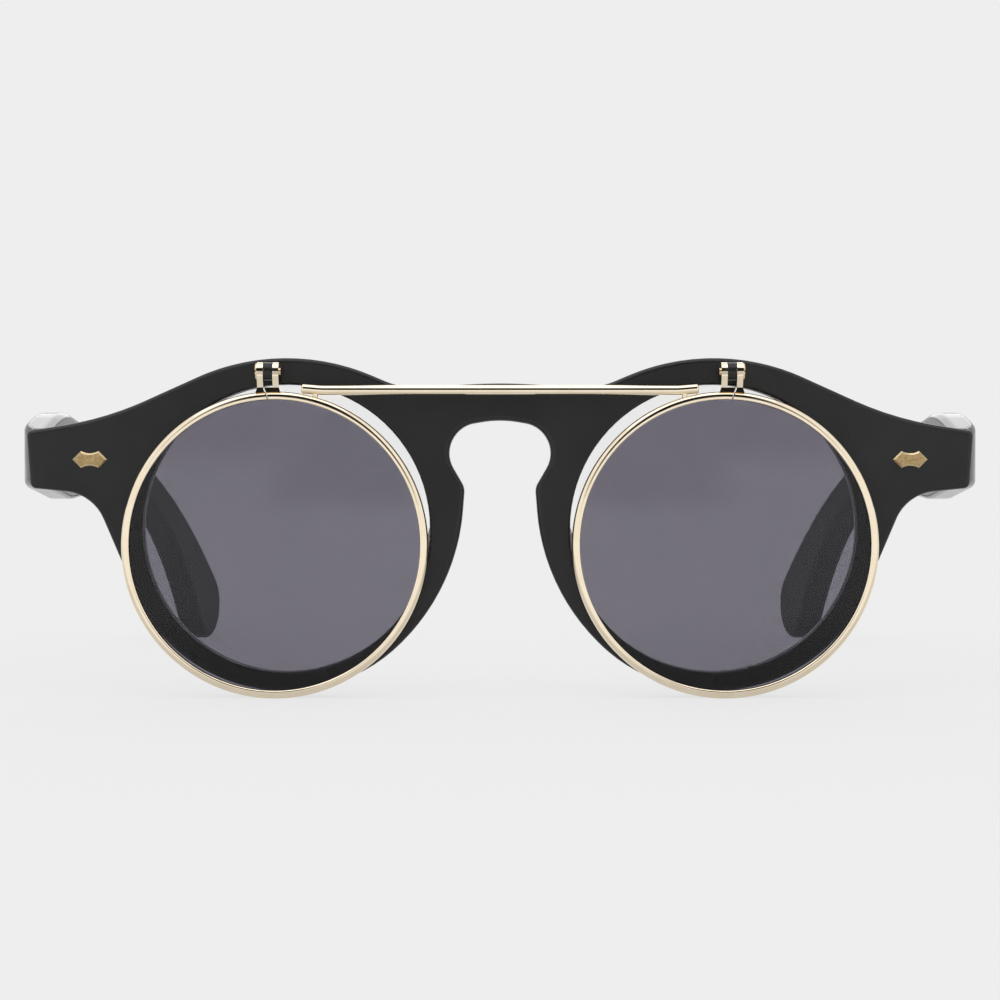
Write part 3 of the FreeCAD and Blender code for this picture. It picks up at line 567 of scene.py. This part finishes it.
@dataclass(frozen=True)
class FlipRing:
    """Where a flip-up rim and its lens stand, in millimetres."""

    middle_x: float = 34.28
    middle_y: float = -70.492
    radius: float = 23.35
    steps: int = 320

    def spot(self, side: Side, radius: float, turn: float, depth: float) -> Vector:
        """Point beside the middle of a rim, which stands on the floor.

        Args:
            side: Side of the rim.
            radius: Distance from the rim's axis.
            turn: Angle from straight up, outward positive, in radians.
            depth: Distance behind the rim's middle.

        Returns:
            The point, in metres.
        """
        out, up = self.middle_x + radius * math.sin(turn), self.radius + radius * math.cos(turn)
        return Vector((side.sign * out, self.middle_y + depth, up)) * MM


@dataclass(frozen=True)
class RimWire:
    """Grooved wire of a flip-up rim, cut through with a lean under its hinge, in millimetres."""

    ring: FlipRing = FlipRing()
    wide: float = 1.27
    deep: float = 1.8
    soft: float = 0.3
    crown: float = 0.7
    soft_steps: int = 8
    groove_half: float = 0.5
    groove_deep: float = 0.45
    slit_out: float = 0.93
    slit_lean_deg: float = 20.0
    slit_wide: float = 0.2

    def corner(self, tip: Point, out: int, back: int, soft: float) -> list[Point]:
        """Points of a rounded corner of the section, in the section's order.

        Args:
            tip: Corner before rounding, as (radius, depth).
            out: 1 for an outer corner, -1 for an inner one.
            back: 1 for a back corner, -1 for a front one.
            soft: Radius of the rounding.

        Returns:
            Points (radius, depth) over a quarter turn.
        """
        radius, depth = tip[0] - out * soft, tip[1] - back * soft
        start = math.atan2(back, out) - math.pi / 4
        turns = [start + math.pi / 2 * step / self.soft_steps for step in range(self.soft_steps + 1)]
        return [(radius + soft * math.cos(turn), depth + soft * math.sin(turn)) for turn in turns]

    def section(self) -> list[Point]:
        """Section of the wire.

        Returns:
            Closed line of points (radius, depth).
        """
        inner, outer = self.ring.radius - self.wide, self.ring.radius
        half = self.deep / 2
        bed = inner + self.groove_deep
        return [
            *self.corner((outer, half), 1, 1, self.soft),
            *self.corner((inner, half), -1, 1, self.soft),
            (inner, self.groove_half),
            (bed, self.groove_half),
            (bed, -self.groove_half),
            (inner, -self.groove_half),
            *self.corner((inner, -half), -1, -1, self.soft),
            *self.corner((outer, -half), 1, -1, self.crown),
        ]

    def slit_turn(self, radius: float, shift: float) -> float:
        """Angle from straight up at which a wall of the cut meets a radius.

        Args:
            radius: Distance from the rim's axis.
            shift: Distance of the wall from the cut's middle, outward positive.

        Returns:
            The angle in radians.
        """
        lean = math.radians(self.slit_lean_deg)
        along = Vector((math.sin(lean), math.cos(lean)))
        across = Vector((along.y, -along.x))
        foot = Vector((self.slit_out, self.ring.radius - self.wide)) + across * shift
        half = foot.dot(along)
        run = math.sqrt(half * half - foot.dot(foot) + radius * radius) - half
        meet = foot + along * run
        return math.atan2(meet.x, meet.y)

    def build(self, side: Side) -> bpy.types.Object:
        """Turns the section round the rim, from one wall of the cut to the other.

        Args:
            side: Side of the rim.

        Returns:
            The rim, with its two cut ends in the second material slot, which takes the slit's
            painted shade.
        """
        section = self.section()
        count, steps = len(section), self.ring.steps
        points = []
        for step in range(steps + 1):
            for radius, depth in section:
                first = self.slit_turn(radius, self.slit_wide / 2)
                last = self.slit_turn(radius, -self.slit_wide / 2) + 2 * math.pi
                turn = first + (last - first) * step / steps
                points.append(self.ring.spot(side, radius, turn, depth))
        faces = [
            [step * count + edge, step * count + (edge + 1) % count]
            + [(step + 1) * count + (edge + 1) % count, (step + 1) * count + edge]
            for step in range(steps)
            for edge in range(count)
        ]
        ends = [list(range(count))[::-1], [steps * count + edge for edge in range(count)]]
        faces = [face[:: side.sign] for face in [*faces, *ends]]
        rim = new_piece(side.node("rim_wire"), points, faces)
        for wall in list(rim.data.polygons)[-len(ends) :]:
            wall.material_index = 1
        return rim


@dataclass(frozen=True)
class BulgedLens:
    """Round tinted lens with a tongue round its edge, in millimetres."""

    ring: FlipRing = FlipRing()
    edge_radius: float = 22.03
    thick: float = 1.5
    curve: float = 400.0
    tongue_half: float = 0.45
    tongue_radius: float = 22.48
    steps_out: int = 16

    def drop(self, radius: float) -> float:
        """Depth of a face at a radius, counted from its depth at the lens's edge."""
        edge, here = (math.sqrt(self.curve**2 - out**2) for out in (self.edge_radius, radius))
        return edge - here

    def section(self) -> list[Point]:
        """Half section, from beside the middle of the front to beside the middle of the back.

        Returns:
            Line of points (radius, depth).
        """
        half = self.thick / 2
        radii = [self.edge_radius * step / self.steps_out for step in range(1, self.steps_out + 1)]
        front = [(radius, self.drop(radius) - half) for radius in radii]
        back = [(radius, self.drop(radius) + half) for radius in reversed(radii)]
        tongue = [
            (self.edge_radius, -self.tongue_half),
            (self.tongue_radius, -self.tongue_half),
            (self.tongue_radius, self.tongue_half),
            (self.edge_radius, self.tongue_half),
        ]
        return [*front, *tongue, *back]

    def build(self, side: Side) -> bpy.types.Object:
        """Turns the half section into a lens.

        Args:
            side: Side of the lens.

        Returns:
            The lens.
        """
        section = self.section()
        count, steps = len(section), self.ring.steps
        points = [
            self.ring.spot(side, radius, 2 * math.pi * step / steps, depth)
            for step in range(steps)
            for radius, depth in section
        ]
        front, back = len(points), len(points) + 1
        for half in (-self.thick / 2, self.thick / 2):
            points.append(self.ring.spot(side, 0.0, 0.0, self.drop(0.0) + half))
        faces = []
        for step in range(steps):
            here, there = step * count, (step + 1) % steps * count
            faces.append([front, here, there])
            for edge in range(count - 1):
                faces.append([here + edge, here + edge + 1, there + edge + 1, there + edge])
            faces.append([back, there + count - 1, here + count - 1])
        faces = [face[:: -side.sign] for face in faces]
        return new_piece(side.node("bulged_lens"), points, faces)


@dataclass
class Front:
    """Plastic front with its clear lenses, rivet plaques and front hinge plates."""

    plastic: SatinPlastic = SatinPlastic(
        "satin_black_plastic", deep=(0.0092, 0.0097, 0.0096), pale=(0.014, 0.0145, 0.0143)
    )
    clear: LensGlass = LensGlass("clear_lens", tint=(0.96, 0.975, 0.97), tint_density=12.0)
    brass: AgedBrass = AgedBrass(
        "aged_brass", hollow=(0.38, 0.25, 0.10), rubbed=(0.74, 0.58, 0.34)
    )
    steel: SatinSteel = SatinSteel(
        "hinge_steel", bright=(0.62, 0.61, 0.58), dull=(0.47, 0.46, 0.44)
    )
    screw: SatinSteel = SatinSteel(
        "screw_steel",
        bright=(0.68, 0.66, 0.62),
        dull=(0.52, 0.5, 0.47),
        line_stretch=(1.0, 1.0, 1.0),
    )

    def dress(self) -> None:
        """Gives each piece of the front its finish."""
        dress("front_frame", self.plastic.make())
        finishes = {
            "clear_lens": self.clear.make(),
            "rivet_plaque": self.brass.make(),
            "front_hinge": self.steel.make(),
            "temple_screw": self.screw.make(),
        }
        for side in Side:
            for piece, material in finishes.items():
                dress(side.node(piece), material)
            even_out(frame["nodes"][side.node("clear_lens")])


@dataclass
class FlipUp:
    """Wire rims with tinted lenses, hinge lugs, screws and the bar that joins them."""

    gold: PolishedPlate = PolishedPlate(
        "pale_gold_plate", bright=(0.94, 0.825, 0.645), dull=(0.89, 0.765, 0.575)
    )
    tint: LensGlass = LensGlass(
        "grey_tinted_lens", tint=(0.064, 0.03, 0.148), tint_density=1150.0, bend=1.37
    )
    screw: PolishedPlate = PolishedPlate(
        "gold_screw", bright=(0.82, 0.66, 0.44), dull=(0.7, 0.55, 0.35), smooth=0.12, rough=0.28
    )
    # Painted shade: the cut walls of each rim's slit are near black, standing for the shadow inside
    # the narrow slit.
    slit_shade: SatinSteel = SatinSteel(
        "painted_shade_slit_wall", bright=(0.05, 0.04, 0.025), dull=(0.02, 0.016, 0.01), smooth=0.5, rough=0.7
    )
    wire: RimWire = RimWire()
    lens: BulgedLens = BulgedLens()

    def build(self) -> None:
        """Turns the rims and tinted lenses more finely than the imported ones."""
        for side in Side:
            self.place(self.wire.build(side), side.node("flip_rim"))
            self.place(self.lens.build(side), side.node("tinted_lens"))

    def place(self, piece: bpy.types.Object, node: str) -> None:
        """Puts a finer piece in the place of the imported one.

        Args:
            piece: The finer piece.
            node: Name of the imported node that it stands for.
        """
        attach(piece, "flip")
        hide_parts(node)
        LOG.info("built %s", piece.name)

    def dress(self) -> None:
        """Gives each piece of the flip-up pair its finish."""
        finishes = (self.gold, self.screw, self.tint, self.slit_shade)
        gold, screw, tint, slit_shade = (finish.make() for finish in finishes)
        dress("brow_bar", gold)
        for side in Side:
            for piece in ("outer_lug", "inner_lug", "bar_post"):
                dress(side.node(piece), gold)
            dress(side.node("flip_screw"), screw)
            # Second slot: the painted shade on the slit's cut walls.
            for material in (gold, slit_shade):
                bpy.data.objects[side.node("rim_wire")].data.materials.append(material)
            bpy.data.objects[side.node("bulged_lens")].data.materials.append(tint)


@dataclass
class Temples:
    """Plastic temples with their hinge plates."""

    plastic: SatinPlastic = SatinPlastic(
        "polished_black_temple",
        deep=(0.008, 0.0085, 0.0085),
        pale=(0.012, 0.0125, 0.0122),
        smooth=0.08,
        rough=0.15,
        shine=0.5,
        grain_mm=0.3,
        grain_depth_mm=0.0002,
        dull_from_mm=-38.0,
        dull_rough=0.5,
    )
    steel: SatinSteel = SatinSteel(
        "temple_hinge_steel", bright=(0.62, 0.61, 0.58), dull=(0.47, 0.46, 0.44)
    )

    def dress(self) -> None:
        """Gives both temples and their hinge plates their finish."""
        plastic, steel = self.plastic.make(), self.steel.make()
        for side in Side:
            dress(side.node("temple"), plastic)
            dress(side.node("temple_hinge"), steel)


@dataclass(frozen=True)
class Lamp:
    """Soft distant lamp, with azimuth 0 in front and 90 at the right of the picture."""

    name: str
    azimuth_deg: float
    height_deg: float
    width_deg: float
    strength: float

    def build(self) -> None:
        """Hangs the lamp where its angles say."""
        lamp = bpy.data.lights.new(self.name, "SUN")
        lamp.energy = self.strength
        lamp.angle = math.radians(self.width_deg)
        turn, rise = math.radians(self.azimuth_deg), math.radians(self.height_deg)
        flat = math.cos(rise)
        away = Vector((math.sin(turn) * flat, -math.cos(turn) * flat, math.sin(rise)))
        holder = bpy.data.objects.new(self.name, lamp)
        holder.location = away
        holder.rotation_euler = away.to_track_quat("Z", "Y").to_euler()
        bpy.context.scene.collection.objects.link(holder)
        LOG.info("built %s", self.name)


@dataclass(frozen=True)
class Room:
    """Even light from all round, with a dark gap in front that polished metal mirrors.

    The gap lies above the horizon and dips down to it in the middle. Each span holds the part of
    a direction at which the gap begins and the part at which it is full.
    """

    paper: float = 0.855
    fill: float = 0.72
    mirror: float = 1.0
    rear_mirror: float = 0.7
    rear_span: Span = (-0.2, 0.4)
    gap_shade: float = 0.01
    gap_ahead: Span = (-0.1, -0.35)
    gap_top: Span = (0.86, 0.74)
    gap_foot: Span = (0.04, 0.09)
    gap_sides: Span = (0.32, 0.16)
    dip_foot: Span = (-0.004, 0.03)
    dip_sides: Span = (0.12, 0.05)

    def build(self) -> None:
        """Lights the scene and shows pale paper to the eye, through glass and in metal."""
        world = bpy.data.worlds.new("soft_room")
        bpy.context.scene.world = world
        world.use_nodes = True
        sheet = NodeSheet(world.node_tree)
        path = sheet.add("ShaderNodeLightPath").outputs
        light = self.background(sheet, 1.0, self.fill).outputs["Background"]
        paper = self.background(sheet, self.paper, 1.0).outputs["Background"]
        mirrored = self.background(sheet, 1.0, 1.0)
        sheet.join(self.mirror_shade(sheet), mirrored.inputs["Strength"])
        straight = sheet.combine(Way.LARGER, path["Is Camera Ray"], path["Is Transmission Ray"])
        lit = sheet.choose(path["Is Glossy Ray"], light, mirrored.outputs["Background"])
        seen = sheet.choose(straight, lit, paper)
        sheet.join(seen, sheet.add("ShaderNodeOutputWorld").inputs["Surface"])
        LOG.info("built the room light")

    def background(self, sheet: NodeSheet, grey: float, strength: float) -> bpy.types.Node:
        """Adds plain grey light.

        Args:
            sheet: Node tree of the world.
            grey: Shade of grey.
            strength: Strength of the light.

        Returns:
            The background node.
        """
        node = sheet.add("ShaderNodeBackground")
        node.inputs["Color"].default_value = (grey, grey, grey, 1.0)
        node.inputs["Strength"].default_value = strength
        return node

    def overlap(self, sheet: NodeSheet, *bands: tuple[Socket, Span]) -> Socket:
        """Directions that lie in both of two soft-edged bands.

        Args:
            sheet: Node tree of the world.
            bands: Two parts of the direction, each with its span.

        Returns:
            0 outside either band, 1 where both are full.
        """
        shares = [sheet.spread(part, 0.0, 1.0, *span, run=Run.EASED) for part, span in bands]
        return sheet.combine(Way.PRODUCT, *shares)

    def mirror_shade(self, sheet: NodeSheet) -> Socket:
        """Brightness that polished pieces mirror from each direction.

        Args:
            sheet: Node tree of the world.

        Returns:
            Pale paper, less pale towards the back of the room, and dark in the gap.
        """
        heading = sheet.split(sheet.add("ShaderNodeTexCoord").outputs["Generated"]).outputs
        aside = sheet.add("ShaderNodeMath", operation="ABSOLUTE")
        sheet.join(heading["X"], aside.inputs[0])
        sideways, ahead, up = aside.outputs["Value"], heading["Y"], heading["Z"]
        wall = self.overlap(sheet, (up, self.gap_foot), (sideways, self.gap_sides))
        dip = self.overlap(sheet, (up, self.dip_foot), (sideways, self.dip_sides))
        bounds = self.overlap(sheet, (up, self.gap_top), (ahead, self.gap_ahead))
        gap = sheet.combine(Way.PRODUCT, sheet.combine(Way.LARGER, wall, dip), bounds)
        plain = sheet.spread(ahead, self.mirror, self.rear_mirror, *self.rear_span)
        shade = sheet.add("ShaderNodeMapRange")
        sheet.join(plain, shade.inputs["To Min"])
        shade.inputs["To Max"].default_value = self.gap_shade
        sheet.join(gap, shade.inputs["Value"])
        return shade.outputs["Result"]


@dataclass(frozen=True)
class Table:
    """Pale paper under the glasses, with a faint soft shadow, and a painted shade where metal
    mirrors it just in front of them.
    """

    radius_m: float = 12.0
    steps: int = 96
    shade: float = 0.842
    paper: float = 0.855
    shadow_share: float = 0.16
    # Painted shade: the paper that metal mirrors just in front of the glasses glows darker than the
    # lit paper.
    painted_shade_near: float = 0.64
    mirrored_far: float = 1.04
    near_mm: float = -85.0
    far_mm: float = -190.0
    behind_mm: float = -65.0

    def build(self) -> None:
        """Lays the round sheet of paper."""
        mesh = bpy.data.meshes.new("table")
        turns = [2 * math.pi * step / self.steps for step in range(self.steps)]
        rim = [Vector((math.cos(turn), math.sin(turn), 0.0)) * self.radius_m for turn in turns]
        mesh.from_pydata(rim, [], [list(range(self.steps))])
        mesh.materials.append(self.paper_sheet())
        table = bpy.data.objects.new("table", mesh)
        bpy.context.scene.collection.objects.link(table)
        LOG.info("built the table")

    def paper_sheet(self) -> bpy.types.Material:
        """Makes the paper: part lit, so that the shadow shows, and part plain backdrop colour.

        Returns:
            The material.
        """
        sheet = FinishSheet("pale_paper")
        path = sheet.add("ShaderNodeLightPath").outputs
        lit = sheet.add("ShaderNodeBsdfDiffuse")
        lit.inputs["Color"].default_value = (self.shade, self.shade, self.shade, 1.0)
        plain = sheet.add("ShaderNodeEmission")
        sheet.join(self.glow(sheet, path["Is Glossy Ray"]), plain.inputs["Strength"])
        share = sheet.spread(path["Is Diffuse Ray"], 1.0 - self.shadow_share, 0.0, 0.0, 1.0)
        mixed = sheet.choose(share, lit.outputs["BSDF"], plain.outputs["Emission"])
        sheet.join(mixed, sheet.output.inputs["Surface"])
        return sheet.material

    def glow(self, sheet: FinishSheet, glossy: Socket) -> Socket:
        """Brightness of the paper: plain to the eye, and in metal a painted shade just in front of
        the glasses that grows brighter farther in front.

        Args:
            sheet: Node tree of the paper.
            glossy: 1 where the paper is mirrored, 0 where it is seen.

        Returns:
            The brightness.
        """
        depth = sheet.split(sheet.spot).outputs["Y"]
        far, near, behind = self.far_mm * MM, self.near_mm * MM, self.behind_mm * MM
        ahead = sheet.spread(depth, self.mirrored_far, self.painted_shade_near, far, near)
        back = sheet.spread(depth, 0.0, self.paper, near, behind)
        glow = sheet.add("ShaderNodeMix")
        glow.inputs["A"].default_value = self.paper
        sheet.join(glossy, glow.inputs["Factor"])
        sheet.join(sheet.combine(Way.LARGER, ahead, back), glow.inputs["B"])
        return glow.outputs["Result"]


@dataclass(frozen=True)
class Studio:
    """Room, table, lamps and the camera in front."""

    eye_height_mm: float = 36.9
    eye_distance_mm: float = 400.0
    front_mm: float = -69.41
    tilt_deg: float = 0.96
    focal_mm: float = 94.43
    sensor_mm: float = 36.0
    nearest_mm: float = 10.0
    lamps: tuple[Lamp, ...] = (
        Lamp("top_lamp", azimuth_deg=-20.0, height_deg=72.0, width_deg=60.0, strength=0.68),
        Lamp("back_lamp", azimuth_deg=180.0, height_deg=30.0, width_deg=45.0, strength=0.52),
    )

    def build(self) -> None:
        """Builds the table, the light and the camera."""
        Table().build()
        Room().build()
        for lamp in self.lamps:
            lamp.build()
        self.build_camera()

    def build_camera(self) -> None:
        """Sets the camera straight in front, a little above the middle of the lenses."""
        camera = bpy.data.cameras.new("camera")
        camera.sensor_width = self.sensor_mm
        camera.lens = self.focal_mm
        camera.clip_start = self.nearest_mm * MM
        holder = bpy.data.objects.new("camera", camera)
        eye = Vector((0.0, self.front_mm - self.eye_distance_mm, self.eye_height_mm))
        holder.location = eye * MM
        holder.rotation_euler = (math.radians(90.0 - self.tilt_deg), 0.0, 0.0)
        bpy.context.scene.collection.objects.link(holder)
        bpy.context.scene.camera = holder
        LOG.info("built the camera")


def main() -> None:
    """Dresses the glasses and builds the studio round them."""
    logging.basicConfig(level=logging.INFO, format="%(name)s: %(message)s")
    bpy.context.scene.view_settings.view_transform = "Standard"
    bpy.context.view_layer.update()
    Front().dress()
    flip_up = FlipUp()
    flip_up.build()
    flip_up.dress()
    Temples().dress()
    Studio().build()


if __name__ == "__main__":
    main()
